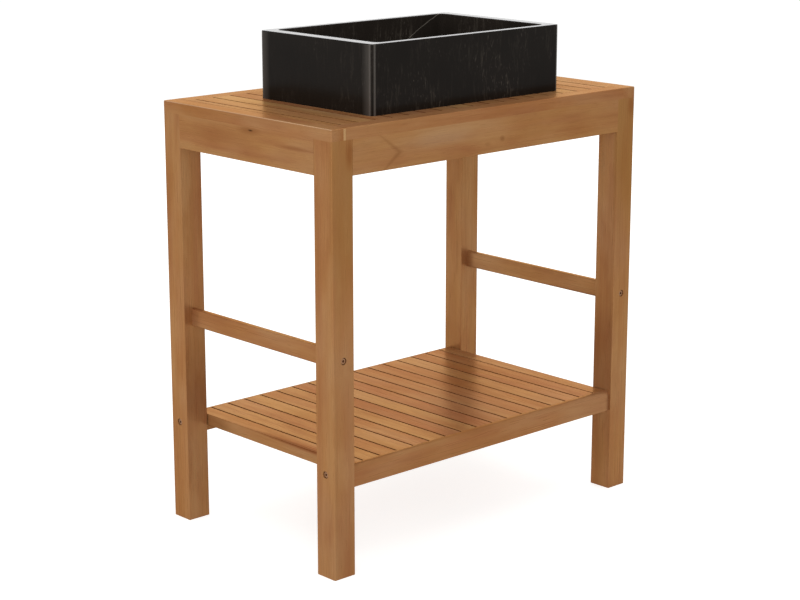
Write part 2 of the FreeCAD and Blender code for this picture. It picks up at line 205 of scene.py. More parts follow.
# %% Teak colours
SALMON = "#A96F49"
STRAW = "#BA8B58"
TONE_TINTS = (
    ("bands", 0.50, 0.25, 0.38, "#B68957"),
    ("bands", 0.50, 0.75, 0.42, "#A66C4A"),
    ("blush", 0.50, 0.30, 0.45, "#B88E68"),
    ("blush", 0.50, 0.70, 0.45, "#A36B37"),
    ("clouds", 0.50, 0.25, 0.36, "#C3996A"),
    ("clouds", 0.50, 0.75, 0.52, "#9C623F"),
)
LINE_TINTS = (
    ("rings", 0.50, 1.00, 0.14, "#80502F"),
    ("streaks", 0.56, 0.78, 0.32, "#865431"),
    ("streaks", 0.45, 0.22, 0.22, "#C39866"),
    ("fibres", 0.50, 0.80, 0.20, "#8A5A37"),
    ("pores", 0.62, 0.74, 0.26, "#6B4328"),
)
END_TINT = (0.85, 0.95, 0.08, "#7A4C2A")


def add_colours(wood, tones, lines):
    """Give a stick its own tone and the tints of its figure."""
    tree = wood.tree
    dice = add(tree, "SeparateXYZ", {0: wood.chance}).outputs["X"]
    tone = add(tree, "MapRange", {"Value": dice, "To Min": tones[0], "To Max": tones[1]}).outputs["Result"]
    own = add(tree, "Mix", {0: tone, 6: linear(SALMON), 7: linear(STRAW)}, data_type="RGBA")
    wood.colour = own.outputs[2]
    for name, start, full, amount, shade in TONE_TINTS:
        tint(wood, getattr(wood, name), start, full, amount, shade)
    for name, start, full, amount, shade in LINE_TINTS:
        tint(wood, getattr(wood, name), start, full, amount * lines, shade)
    # End grain soaks up more oil and is a little darker.
    wood.end = add(tree, "Math", {0: wood.facing[wood.axis]}, operation="ABSOLUTE").outputs[0]
    tint(wood, wood.end, *END_TINT)


print(len(TONE_TINTS), "tone tints,", len(LINE_TINTS), "line tints")

# %% [markdown]
# ## Oiled teak: the finish
# The sticks are planed and rubbed with oil, which leaves no film. A clear coat or a plain specular shine
# would mirror the lamps in white. Here light sinks into silky fibres and comes back in the colour of honey,
# most of all at a low angle. A metallic share gives just that, because metal tints what it mirrors. Wood
# starts at a share of 0 and a roughness near 0.4, and both were then matched to the top of the real stand.

# %% Teak, planed and oiled
# To the eye: a satin brown that glows along the grain and turns to honey where light skims it.
TEAK_IOR = 1.5
SILK_SHARE = 0.30
WHITE_SHINE = 0.0
HONEY = "#F8DAAE"
FRAME_STOCK = (0.3, 0.7)
FAINT_LINES = 0.6
FIBRE_RANGE = (0.3, 0.7)
PLANED_ROUGH = (0.26, 0.36)
PORE_STRENGTH = 0.2
PORE_DEEP_MM = 0.3


def oiled(wood, sheen):
    """Close a teak finish: satin, silky along the fibres, with shallow pores."""
    tree = wood.tree
    rough = add(tree, "MapRange", {"Value": wood.fibres,
                                   "From Min": FIBRE_RANGE[0], "From Max": FIBRE_RANGE[1],
                                   "To Min": PLANED_ROUGH[0], "To Max": PLANED_ROUGH[1]}).outputs["Result"]
    relief = add(tree, "Math", {0: wood.fibres, 1: wood.pores}, operation="SUBTRACT").outputs[0]
    bump = add(tree, "Bump", {"Strength": PORE_STRENGTH, "Distance": PORE_DEEP_MM * MM, "Height": relief})
    face = add(tree, "BsdfPrincipled", {"Base Color": wood.colour, "Roughness": rough, "IOR": TEAK_IOR,
                                        "Metallic": SILK_SHARE, "Specular IOR Level": WHITE_SHINE,
                                        "Specular Tint": linear(sheen), "Normal": bump.outputs[0]})
    tree.links.new(face.outputs[0], wood.output.inputs["Surface"])
    return wood.material


def teak(name, axis, tones=FRAME_STOCK, lines=FAINT_LINES, sheen=HONEY, traits=()):
    """Planed and oiled teak with its grain along one axis; traits are what single sticks have besides."""
    wood = stick_in_log(name, axis)
    add_figure(wood)
    add_rings(wood)
    add_colours(wood, tones, lines)
    for trait in traits:
        trait(wood)
    return oiled(wood, sheen)


teak_along = {axis: teak("oiled_teak_along_" + axis.lower(), axis) for axis in "XYZ"}
print("teak:", [material.name for material in teak_along.values()])

# %% [markdown]
# ## Which way the grain runs
# Grain always runs along a stick, because across it the stick would snap. Legs stand, so theirs runs up; long
# rails and battens run across the stand; slats and side pieces run from front to back. The longest side of a
# piece tells this, and only grouped slats and battens, whose common box is broad, go by name.

# %% Grain of each stick


def grain_axis(node):
    """Letter of the axis along a node's length."""
    if "slat" in node:
        return "Y"
    if "batten" in node:
        return "X"
    low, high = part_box(node)
    lengths = [high[i] - low[i] for i in range(3)]
    return "XYZ"[lengths.index(max(lengths))]


def dress(node, material, number=0):
    """Give a node's object one material, and a number for its own figure."""
    piece = nodes[node]
    piece.data.materials.clear()
    piece.data.materials.append(material)
    piece.pass_index = number


wooden = sorted(node for node, slot in slot_of.items() if slot == "teak")
number_of = {node: number for number, node in enumerate(wooden, 1)}
# These two were picked for their tone.
PICKED_NUMBERS = {"top_board_front": 64, "side_rail_right": 62}
number_of.update(PICKED_NUMBERS)
for node in wooden:
    dress(node, teak_along[grain_axis(node)], number_of[node])
print(len(wooden), "sticks of teak")

# %% [markdown]
# ## Slats
# The slats are sawn from mixed stock, so their tones differ more than those of the frame, and their lines are
# bolder. Lines painted on top would miss the gaps as soon as a slat's width changed. The gaps are real, so
# only the sides and eased edges of each slat get a darker shade: painted shade in the gaps. In the photograph
# the shelf's shine is a little paler than the top's, so its honey is paler too.

# %% Slats with painted shade in their gaps
# Painted shade: this tint darkens the sides and eased edges of every slat, in the gaps between them.
GAP_SHADE_TINT = (0.2, 0.7, 0.7, "#5A2C0E")
MIXED_STOCK = (-0.1, 1.2)
BOLD_LINES = 1.0
PALE_HONEY = "#FFE2C6"


def painted_gap_shade(wood):
    """Paint shade on the faces that look sideways out of a slat."""
    sideways = add(wood.tree, "Math", {0: wood.facing["X"]}, operation="ABSOLUTE").outputs[0]
    tint(wood, sideways, *GAP_SHADE_TINT)


top_teak = teak("oiled_teak_top_slats", "Y", MIXED_STOCK, BOLD_LINES, traits=[painted_gap_shade])
shelf_teak = teak("oiled_teak_shelf_slats", "Y", MIXED_STOCK, BOLD_LINES, PALE_HONEY, [painted_gap_shade])
slats = [node for node in wooden if "_slat" in node]
for node in slats:
    dress(node, shelf_teak if "shelf" in node else top_teak, number_of[node])
print(len(slats), "nodes of slats")

# %% [markdown]
# ## Side boards
# The upper outer edges of the side boards are paler: a highlight painted into their colour. A mask for it
# could be painted by hand. But such an edge looks partly sideways and partly up, so the product of both
# directions finds it, whatever the board's size. The left board's end also shows a pale sliver along its inner
# edge.

# %% Painted edge highlight and pale sliver
# The first tint is a painted highlight along the upper outer edges of the side boards.
EDGE_HIGHLIGHT_TINT = (0.1, 0.4, 0.35, "#EBD0B0")
PALE_SLIVER_TINT = (0.85, 1.0, 0.55, "#DDB783")
PALE_SLIVER_MM = 6
PALE_SLIVER_SOFT_SHARE = 0.8
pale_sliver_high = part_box("top_board_left")[1][0]
pale_sliver_half = PALE_SLIVER_MM * MM / 2


def painted_edge_highlight(wood):
    """Paint a highlight on the edge that looks sideways and up."""
    both = add(wood.tree, "Math", {0: wood.facing["X"], 1: wood.facing["Z"]}, operation="MULTIPLY").outputs[0]
    slanting = add(wood.tree, "Math", {0: both}, operation="ABSOLUTE").outputs[0]
    tint(wood, slanting, *EDGE_HIGHLIGHT_TINT)


def pale_end_sliver(wood):
    """Pale a sliver along the left board's inner edge, on its end grain alone."""
    tree = wood.tree
    across = add(tree, "SeparateXYZ", {0: wood.point}).outputs["X"]
    aside = add(tree, "Math", {0: across, 1: pale_sliver_high - pale_sliver_half}, operation="SUBTRACT").outputs[0]
    aside = add(tree, "Math", {0: aside}, operation="ABSOLUTE").outputs[0]
    sliver = add(tree, "MapRange", {"Value": aside, "From Min": pale_sliver_half,
                                    "From Max": pale_sliver_half * PALE_SLIVER_SOFT_SHARE}).outputs["Result"]
    shown = add(tree, "Math", {0: sliver, 1: wood.end}, operation="MULTIPLY").outputs[0]
    tint(wood, shown, *PALE_SLIVER_TINT)


right_teak = teak("oiled_teak_side_board", "Y", traits=[painted_edge_highlight])
left_teak = teak("oiled_teak_with_pale_sliver", "Y", traits=[painted_edge_highlight, pale_end_sliver])
dress("top_board_right", right_teak, number_of["top_board_right"])
dress("top_board_left", left_teak, number_of["top_board_left"])
print("sapwood from x", round(pale_sliver_high - 2 * pale_sliver_half, 4), "to", round(pale_sliver_high, 4))

# %% [markdown]
# ## Marks in the wood
# A few marks make this stand known from others: a pin knot, smears, spots and reddish strips. Each is a soft
# spot round a place, given in millimetres with its reach along X, Y and Z, its strength and its shade. A
# painted mask could do this too, but a spot in space needs no picture and runs over an edge by itself.

# %% Marks
MARK_EDGE = (1.4, 0.7)
MARK_RAGGED = 0.8


def add_marks(wood, marks):
    """Tint soft spots, each given by its place, reach, strength and shade; the clouds fray their edges."""
    tree = wood.tree
    for place_mm, reach_mm, amount, shade in marks:
        away = add(tree, "VectorMath", {0: wood.point, 1: Vector(place_mm) * MM}, operation="SUBTRACT")
        shrink = [1 / (reach * MM) for reach in reach_mm]
        scaled = add(tree, "VectorMath", {0: away.outputs[0], 1: shrink}, operation="MULTIPLY").outputs[0]
        gap = add(tree, "VectorMath", {0: scaled}, operation="LENGTH").outputs["Value"]
        frayed = add(tree, "Math", {0: wood.clouds, 1: MARK_RAGGED, 2: gap}, operation="MULTIPLY_ADD")
        tint(wood, frayed.outputs[0], *MARK_EDGE, amount, shade)


apron_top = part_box("apron_left")[1][2] / MM
print("marks are measured down from z", round(apron_top, 2), "mm")

# %% [markdown]
# ## Left apron
# A pin knot is the root of a thin twig: a dark eye in a stained cloud, drawn out along the grain. This apron
# has one near its upper edge, with a reddish cloud behind it and a dark smear in front. A knot is flush with
# the planed face, so there is nothing to model, and four tints give it.

# %% Left apron
DEEP_MM = 30
apron_left_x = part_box("apron_left")[0][0] / MM
LEFT_MARKS = (
    ((apron_left_x, 75, apron_top - 22), (DEEP_MM, 110, 20), 0.45, "#99603C"),
    ((apron_left_x, -130, apron_top - 22), (DEEP_MM, 62, 5), 0.45, "#85502E"),
    ((apron_left_x, -14, apron_top - 6), (DEEP_MM, 40, 9), 0.50, "#85502E"),
    ((apron_left_x, -17.6, apron_top - 5.2), (DEEP_MM, 7.5, 2.0), 0.90, "#3A2414"),
)
left_apron_teak = teak("oiled_teak_left_apron", "Y", traits=[lambda wood: add_marks(wood, LEFT_MARKS)])
dress("apron_left", left_apron_teak, number_of["apron_left"])
print(len(LEFT_MARKS), "marks on the left apron")

# %% [markdown]
# ## Flame in the front apron
# Where a saw leaves a growth ring, the ring comes to a point: the tip of a flame. One such arrowhead shows on
# the front apron. It is drawn as a line that lags behind its tip the more it rises or falls, and fades on the
# way. The rings above could give it by chance, but not at this place.

# %% Flame
FLAME_TIP_MM = (-220, apron_top - 33)
FLAME_LAG = 1.38
FLAME_WANDER_MM = 12
FLAME_FADE = 0.2
FLAME_EDGE_MM = (11.0, 1.0)
FLAME_STRENGTH = 0.42
FLAME_SHADE = "#7C4C29"


def add_flame(wood):
    """Tint an arrowhead that points along the stick."""
    tree = wood.tree
    tip_x, tip_z = (size * MM for size in FLAME_TIP_MM)
    wander = FLAME_WANDER_MM * MM
    spot = add(tree, "SeparateXYZ", {0: wood.point}).outputs
    rise = add(tree, "Math", {0: spot["Z"], 1: tip_z}, operation="SUBTRACT").outputs[0]
    rise = add(tree, "Math", {0: rise}, operation="ABSOLUTE").outputs[0]
    bent = add(tree, "Math", {0: wood.clouds, 1: wander, 2: spot["X"]}, operation="MULTIPLY_ADD").outputs[0]
    lag = add(tree, "Math", {0: rise, 1: FLAME_LAG, 2: bent}, operation="MULTIPLY_ADD").outputs[0]
    off = add(tree, "Math", {0: lag, 1: tip_x + wander / 2}, operation="SUBTRACT").outputs[0]
    off = add(tree, "Math", {0: off}, operation="ABSOLUTE").outputs[0]
    fading = add(tree, "Math", {0: rise, 1: FLAME_FADE, 2: off}, operation="MULTIPLY_ADD").outputs[0]
    far, near = (size * MM for size in FLAME_EDGE_MM)
    tint(wood, fading, far, near, FLAME_STRENGTH, FLAME_SHADE)


print("flame's tip at", FLAME_TIP_MM, "mm")

# %% [markdown]
# ## Front apron
# Beside its flame the front apron has two small brown spots, like twigs cut through, and a paler field left
# of its middle. They are flush with the face, so they are marks like those of the left apron.

# %% Front apron
apron_front_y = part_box("apron_front")[0][1] / MM
FRONT_MARKS = (
    ((-120, apron_front_y, apron_top - 22), (95, DEEP_MM, 16), 0.35, "#B08A6A"),
    ((22, apron_front_y, apron_top - 38), (8, DEEP_MM, 7), 0.45, "#7A4B2A"),
    ((-14, apron_front_y, apron_top - 44), (10, DEEP_MM, 6), 0.25, "#80502E"),
)
front_apron_teak = teak("oiled_teak_front_apron", "X",
                        traits=[lambda wood: add_marks(wood, FRONT_MARKS), add_flame])
dress("apron_front", front_apron_teak, number_of["apron_front"])
print(len(FRONT_MARKS), "marks on the front apron")

# %% [markdown]
# ## Front legs
# The front faces of the front legs turn darker and olive-brown towards the top: painted shade. A reddish
# strip runs down the right edge of each. These marks reach in by about ten millimetres only, so the side
# faces stay nearly as they are.
# Another number for the figure might give such strips by chance, but hardly on both legs.

# %% Front legs
SKIN_MM = 10
leg_front_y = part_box("leg_front_left")[0][1] / MM
left_leg_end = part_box("leg_front_left")[1][0] / MM
right_leg_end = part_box("leg_front_right")[1][0] / MM
LEG_MARKS_AND_SHADE = (
    # The first two rows are painted shade: darker and olive-brown towards the top of each front leg.
    ((left_leg_end - 22, leg_front_y, apron_top - 90), (70, SKIN_MM, 220), 0.45, "#9A6B35"),
    ((right_leg_end - 22, leg_front_y, apron_top - 90), (70, SKIN_MM, 220), 0.55, "#9A6B35"),
    ((left_leg_end - 7, leg_front_y, apron_top - 22), (11, SKIN_MM, 36), 0.55, "#8A4E26"),
    ((right_leg_end - 8, leg_front_y, apron_top - 14), (13, SKIN_MM, 25), 0.45, "#8A4E26"),
)
front_leg_teak = teak("oiled_teak_front_legs", "Z", traits=[lambda wood: add_marks(wood, LEG_MARKS_AND_SHADE)])
for node in ("leg_front_left", "leg_front_right"):
    dress(node, front_leg_teak, number_of[node])
print(len(LEG_MARKS_AND_SHADE), "marks on the front legs")

# %% [markdown]
# ## Outer slats of the shelf
# The two outer slats of the shelf are narrower and of more even stock, and no joint lies on their outer side.
# A reddish streak runs along the upper edge of the left one, over most of its front half. Each face could
# have a streak of its own, but marks round the edge show on both without a break.

# %% Outer slats of the shelf
EVEN_STOCK = (0.2, 0.8)
shelf_left_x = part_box("shelf_edge_slats")[0][0] / MM
shelf_top_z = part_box("shelf_edge_slats")[1][2] / MM
SHELF_MARKS = (
    ((shelf_left_x + 5, -110, shelf_top_z), (18, 170, 9), 0.65, "#8A4824"),
    ((shelf_left_x + 2, -75, shelf_top_z), (7, 170, 5), 0.60, "#6B371B"),
)
shelf_edge_teak = teak("oiled_teak_shelf_edge", "Y", EVEN_STOCK, BOLD_LINES, PALE_HONEY,
                       [lambda wood: add_marks(wood, SHELF_MARKS)])
dress("shelf_edge_slats", shelf_edge_teak, number_of["shelf_edge_slats"])
print(len(SHELF_MARKS), "marks on the shelf's left slat")

# %% [markdown]
# ## Black marble: the stone
# The basin is cut from a block of black marble and honed to a low polish. To the eye it is nearly black with
# a brown cast, and faint grey streaks run steeply down its walls in patches. A picture of a slab would repeat
# and break at the corners, so the stone too is worked out in space, and all faces cut the same streaks.

# %% Marble body
# Twelve sways to a metre are about 83 mm each, and nine clouds about 111 mm each.
SWAYS_PER_METRE = 12.0
SWAY_MM = 25
CLOUDS_PER_METRE = 9.0
DARK_STONE = "#161310"
PALE_STONE = "#27221E"

stone = new_finish("honed_black_marble")
stone.point = add(stone.tree, "TexCoord").outputs["Object"]
sway = add(stone.tree, "TexNoise", {"Vector": stone.point, "Scale": SWAYS_PER_METRE, "Detail": 4.0})
stone.sway = sway.outputs["Color"]
swayed = add(stone.tree, "VectorMath", {0: stone.sway, 1: [SWAY_MM * MM] * 3, 2: stone.point},
             operation="MULTIPLY_ADD").outputs[0]
stone_clouds = add(stone.tree, "TexNoise", {"Vector": swayed, "Scale": CLOUDS_PER_METRE,
                                            "Detail": 2.0}).outputs["Fac"]
cloudy = add(stone.tree, "Mix", {0: stone_clouds, 6: linear(DARK_STONE), 7: linear(PALE_STONE)},
             data_type="RGBA")
stone.colour = cloudy.outputs[2]
print("stone from", DARK_STONE, "to", PALE_STONE)

# %% [markdown]
# ## Black marble: streaks and flecks
# The grey in this stone is fine calcite, drawn out where the rock was pressed. It shows only in patches. A
# pattern all over would look brushed, so each is multiplied by where the clouds of the stone are thick.

# %% Streaks and flecks
WHOLE = (0.0, 1.0)
STONE_STREAK_MM = (6.5, 60)
STREAK_RANGE = (0.54, 0.84)
PATCH_RANGE = (0.44, 0.64)
PATCH_LEAST = 0.1
STREAK_STRENGTH = 1.0
STREAK_SHADE = "#4E4840"
# Real flecks are well under a millimetre wide. They are drawn coarser so that they show.
FLECK_MM = (2.2, 12)
FLECK_RANGE = (0.64, 0.78)
CLUSTER_RANGE = (0.48, 0.63)
FLECK_STRENGTH = 0.5
FLECK_SHADE = "#6A635B"


def drawn_down(size_mm, detail, roughness):
    """Noise in the stone stretched upright, from its width and height in millimetres."""
    wide, tall = (size * MM for size in size_mm)
    scale = (1 / wide, 1 / wide, 1 / tall)
    place = add(stone.tree, "VectorMath", {0: swayed, 1: scale}, operation="MULTIPLY").outputs[0]
    return add(stone.tree, "TexNoise", {"Vector": place, "Scale": 1.0, "Detail": detail,
                                        "Roughness": roughness}).outputs["Fac"]


streaks = add(stone.tree, "MapRange", {"Value": drawn_down(STONE_STREAK_MM, detail=4.0, roughness=0.65),
                                       "From Min": STREAK_RANGE[0],
                                       "From Max": STREAK_RANGE[1]}).outputs["Result"]
patches = add(stone.tree, "MapRange", {"Value": stone_clouds, "From Min": PATCH_RANGE[0],
                                       "From Max": PATCH_RANGE[1], "To Min": PATCH_LEAST}).outputs["Result"]
patchy = add(stone.tree, "Math", {0: streaks, 1: patches}, operation="MULTIPLY").outputs[0]
tint(stone, patchy, *WHOLE, STREAK_STRENGTH, STREAK_SHADE)

flecks = add(stone.tree, "MapRange", {"Value": drawn_down(FLECK_MM, detail=1.0, roughness=0.5),
                                      "From Min": FLECK_RANGE[0],
                                      "From Max": FLECK_RANGE[1]}).outputs["Result"]
clusters = add(stone.tree, "MapRange", {"Value": stone_clouds, "From Min": CLUSTER_RANGE[0],
                                        "From Max": CLUSTER_RANGE[1]}).outputs["Result"]
clustered = add(stone.tree, "Math", {0: flecks, 1: clusters}, operation="MULTIPLY").outputs[0]
tint(stone, clustered, *WHOLE, FLECK_STRENGTH, FLECK_SHADE)
print("streaks of", STONE_STREAK_MM, "mm, flecks of", FLECK_MM, "mm")

# %% [markdown]
# ## Black marble: the vein
# A vein is a crack in the rock that filled with pale calcite: a thin sheet through the block, which shows as
# a line where it meets a face. A painted line would end at an edge, so the vein is drawn as the distance from
# a sheet and stays whole where it passes from a wall to the rim. It lies in the back of the basin.

# %% Vein
basin_low, basin_high = (Vector(corner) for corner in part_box("basin"))
rim_z = basin_high.z / MM
VEIN_LOW = Vector((108, 114, rim_z - 51)) * MM
VEIN_HIGH = Vector((193, 114, rim_z)) * MM
VEIN_HALF_MM = 0.9
VEIN_WANDER_MM = 20
VEIN_FROM_MM = (90, 105)
VEIN_STRENGTH = 0.5
VEIN_SHADE = "#8C857C"
NOISE_MIDDLE = (0.5, 0.5, 0.5)

through = (VEIN_HIGH - VEIN_LOW).cross(Vector((0, 1, 0))).normalized()
drift = add(stone.tree, "VectorMath", {0: stone.sway, 1: NOISE_MIDDLE}, operation="SUBTRACT").outputs[0]
bent = add(stone.tree, "VectorMath", {0: drift, 1: [VEIN_WANDER_MM * MM] * 3, 2: stone.point},
           operation="MULTIPLY_ADD").outputs[0]
sheet = add(stone.tree, "VectorMath", {0: bent, 1: through}, operation="DOT_PRODUCT").outputs["Value"]
off = add(stone.tree, "Math", {0: sheet, 1: VEIN_LOW.dot(through)}, operation="SUBTRACT").outputs[0]
off = add(stone.tree, "Math", {0: off}, operation="ABSOLUTE").outputs[0]
line = add(stone.tree, "MapRange", {"Value": off, "From Min": VEIN_HALF_MM * MM, "From Max": 0.0})
back = add(stone.tree, "SeparateXYZ", {0: stone.point}).outputs["Y"]
behind = add(stone.tree, "MapRange", {"Value": back, "From Min": VEIN_FROM_MM[0] * MM,
                                      "From Max": VEIN_FROM_MM[1] * MM}).outputs["Result"]
vein = add(stone.tree, "Math", {0: line.outputs["Result"], 1: behind}, operation="MULTIPLY").outputs[0]
tint(stone, vein, *WHOLE, VEIN_STRENGTH, VEIN_SHADE)
print("vein", 2 * VEIN_HALF_MM, "mm thick")

# %% [markdown]
# ## Black marble: painted corner highlights
# Two paler lines run up each rounded corner, where the round meets the flat faces: highlights painted in.
# Lines could be placed at the four corners one by one. But a round corner is where the surface turns from X
# to Y, so the product of both directions finds all four. Only outer faces take it: they look away from the
# middle.

# %% Corners
# Painted highlight: the pale shade below makes two light lines up each rounded corner of the basin.
SHOULDER = 0.27
SHOULDER_EDGE = (0.22, 0.02)
CORNER_HIGHLIGHT_STRENGTH = 0.9
PAINTED_HIGHLIGHT_SHADE = "#6B6661"
basin_middle = (basin_low + basin_high) / 2

facing = add(stone.tree, "NewGeometry").outputs["Normal"]
turn = add(stone.tree, "SeparateXYZ", {0: facing}).outputs
from_middle = add(stone.tree, "VectorMath", {0: stone.point, 1: basin_middle},
                  operation="SUBTRACT").outputs[0]
outward = add(stone.tree, "VectorMath", {0: from_middle, 1: facing}, operation="DOT_PRODUCT").outputs["Value"]
outer = add(stone.tree, "Math", {0: outward, 1: 0.0}, operation="GREATER_THAN").outputs[0]

round_share = add(stone.tree, "Math", {0: turn["X"], 1: turn["Y"]}, operation="MULTIPLY").outputs[0]
round_share = add(stone.tree, "Math", {0: round_share}, operation="ABSOLUTE").outputs[0]
shoulder = add(stone.tree, "Math", {0: round_share, 1: SHOULDER}, operation="SUBTRACT").outputs[0]
shoulder = add(stone.tree, "Math", {0: shoulder}, operation="ABSOLUTE").outputs[0]
painted_corner_highlight = add(stone.tree, "MapRange", {"Value": shoulder, "From Min": SHOULDER_EDGE[0],
                                       "From Max": SHOULDER_EDGE[1]}).outputs["Result"]
painted_corner_highlight = add(stone.tree, "Math", {0: painted_corner_highlight, 1: outer}, operation="MULTIPLY").outputs[0]
tint(stone, painted_corner_highlight, *WHOLE, CORNER_HIGHLIGHT_STRENGTH, PAINTED_HIGHLIGHT_SHADE)
print("corners burnished round", [round(v, 3) for v in basin_middle])

# %% [markdown]
# ## Black marble: painted highlight on the side faces
# Beside the corners the painted highlight fades out over the side faces. A wider line at the corner would
# run round to the front as well, so this is a ramp towards both ends of a side face, and flat side faces alone
# take it.

# %% Painted highlight on the side faces
# Painted highlight: the stone is paler towards both ends of its flat side faces.
FLAT_SIDE = (0.97, 0.99)
SIDE_HIGHLIGHT_MM = (26, 9)
SIDE_HIGHLIGHT_STRENGTH = 0.45
half_deep = (basin_high - basin_low).y / 2
endwise = add(stone.tree, "SeparateXYZ", {0: from_middle}).outputs["Y"]
endwise = add(stone.tree, "Math", {0: endwise}, operation="ABSOLUTE").outputs[0]
ramp = add(stone.tree, "MapRange", {"Value": endwise, "From Min": half_deep - SIDE_HIGHLIGHT_MM[0] * MM,
                                    "From Max": half_deep - SIDE_HIGHLIGHT_MM[1] * MM}).outputs["Result"]
sideways = add(stone.tree, "Math", {0: turn["X"]}, operation="ABSOLUTE").outputs[0]
flat_side = add(stone.tree, "MapRange", {"Value": sideways, "From Min": FLAT_SIDE[0],
                                         "From Max": FLAT_SIDE[1]}).outputs["Result"]
painted_side_highlight = add(stone.tree, "Math", {0: ramp, 1: flat_side}, operation="MULTIPLY").outputs[0]
painted_side_highlight = add(stone.tree, "Math", {0: painted_side_highlight, 1: outer}, operation="MULTIPLY").outputs[0]
tint(stone, painted_side_highlight, *WHOLE, SIDE_HIGHLIGHT_STRENGTH, PAINTED_HIGHLIGHT_SHADE)
print("rubbing fades", SIDE_HIGHLIGHT_MM[0] - SIDE_HIGHLIGHT_MM[1], "mm from the round")

# %% [markdown]
# ## Black marble: the honing
# Honing stops before a full polish, so the stone has a soft gloss. Outside it is deep black. Inside, its
# colour
# is lifted to look greyer: painted light, in place of the light that reaches the inside less. A second
# material could do that, but a lift of the one colour keeps the same streaks on both sides. Marble starts at
# an IOR of
# 1.5 and a roughness of 0.2. The real faces mirror almost nothing from the front, so the specular level was
# then brought down.

# %% Marble, honed
MARBLE_IOR = 1.5
MARBLE_GLOSS = 0.05
HONED_ROUGH = (0.15, 0.25)
# Painted light: the inside faces take the stone's colour lifted by this gain.
INSIDE_LIGHT_GAIN = 2.2
# Real honing grit is about a tenth of a millimetre. It is drawn coarser so that it shows.
GRIT_MM = 1.2
GRIT_STRENGTH = 0.05
GRIT_DEEP_MM = 0.1

painted_inside_light = add(stone.tree, "VectorMath", {0: stone.colour, "Scale": INSIDE_LIGHT_GAIN}, operation="SCALE").outputs[0]
faces = add(stone.tree, "Mix", {0: outer, 6: painted_inside_light, 7: stone.colour}, data_type="RGBA").outputs[2]
grit = add(stone.tree, "TexNoise", {"Vector": stone.point, "Scale": 1 / (GRIT_MM * MM),
                                    "Detail": 2.0}).outputs["Fac"]
honed = add(stone.tree, "MapRange", {"Value": grit, "To Min": HONED_ROUGH[0],
                                     "To Max": HONED_ROUGH[1]}).outputs["Result"]
relief = add(stone.tree, "Bump", {"Strength": GRIT_STRENGTH, "Distance": GRIT_DEEP_MM * MM, "Height": grit})
marble = add(stone.tree, "BsdfPrincipled", {"Base Color": faces, "Roughness": honed, "IOR": MARBLE_IOR,
                                            "Specular IOR Level": MARBLE_GLOSS, "Normal": relief.outputs[0]})
stone.tree.links.new(marble.outputs[0], stone.output.inputs["Surface"])
dress("basin", stone.material)
print("basin:", stone.material.name)

# %% [markdown]
# ## Metal and rubber
# The screws are zinc-plated steel, the waste is chrome-plated brass, its seals are rubber. Each has one plain
# surface, so a single colour could do. A fine two-tone grain in colour, roughness and relief keeps them from
# looking like plastic, and one function serves all three.

# %% Metal and rubber
# Real plate and rubber have a grain of a few hundredths of a millimetre. It is drawn coarser, to show.
GRAIN_STRENGTH = 0.1
GRAIN_DEEP_MM = 0.05


def small_finish(name, colours, metallic, rough, grain_mm):
    """Finish with a fine two-tone grain, for metal and rubber."""
    finish = new_finish(name)
    tree = finish.tree
    point = add(tree, "TexCoord").outputs["Object"]
    fine = 1 / (grain_mm * MM)
    grain = add(tree, "TexNoise", {"Vector": point, "Scale": fine, "Detail": 3.0}).outputs["Fac"]
    first, second = (linear(colour) for colour in colours)
    tone = add(tree, "Mix", {0: grain, 6: first, 7: second}, data_type="RGBA").outputs[2]
    spread = add(tree, "MapRange", {"Value": grain, "To Min": rough[0], "To Max": rough[1]}).outputs["Result"]
    bump = add(tree, "Bump", {"Strength": GRAIN_STRENGTH, "Distance": GRAIN_DEEP_MM * MM, "Height": grain})
    face = add(tree, "BsdfPrincipled", {"Base Color": tone, "Metallic": metallic, "Roughness": spread,
                                        "Normal": bump.outputs[0]})
    tree.links.new(face.outputs[0], finish.output.inputs["Surface"])
    return finish.material


# Steel, zinc-plated and yellow-passivated, dulled by handling: a warm, blurred shine.
yellow_zinc = small_finish("yellow_zinc_plate", ("#A17B5C", "#866148"),
                           metallic=1.0, rough=(0.45, 0.6), grain_mm=1.5)
# Brass, turned, polished and chrome-plated: a clear, cool mirror.
chrome_plate = small_finish("chrome_plate", ("#C5C6C6", "#BBBCBC"),
                            metallic=1.0, rough=(0.05, 0.12), grain_mm=3.0)
# Rubber, moulded: matt black.
black_rubber = small_finish("black_rubber", ("#1C1C1B", "#262524"),
                            metallic=0.0, rough=(0.6, 0.8), grain_mm=0.8)
finish_of_slot = {"steel": yellow_zinc, "chrome": chrome_plate, "rubber": black_rubber}
for node, slot in slot_of.items():
    if slot in finish_of_slot:
        dress(node, finish_of_slot[slot])
print("small finishes:", [material.name for material in finish_of_slot.values()])

# %% [markdown]
# ## The studio: floor and surround
# The stand is shown on a white ground. A stronger lamp could whiten a floor, but it would bleach the wood
# too. So floor and surround look brighter to the eye, also by way of a mirror or glass, than the light they
# give. In itself the floor is matt pale grey, like rolled paper, and takes the stand's shadow.

# %% Floor
FLOOR_HALF = 40.0
FLOOR_LIFT = 0.75
FLOOR_COLOUR = "#D2D2D0"


def seen_by_eye(tree):
    """1 on the paths that end in the eye, straight or by way of a mirror or glass, and 0 elsewhere."""
    paths = add(tree, "LightPath").outputs
    straight, mirrored = paths["Is Camera Ray"], paths["Is Glossy Ray"]
    seen = add(tree, "Math", {0: straight, 1: mirrored}, operation="MAXIMUM").outputs[0]
    return add(tree, "Math", {0: seen, 1: paths["Is Transmission Ray"]}, operation="MAXIMUM").outputs[0]


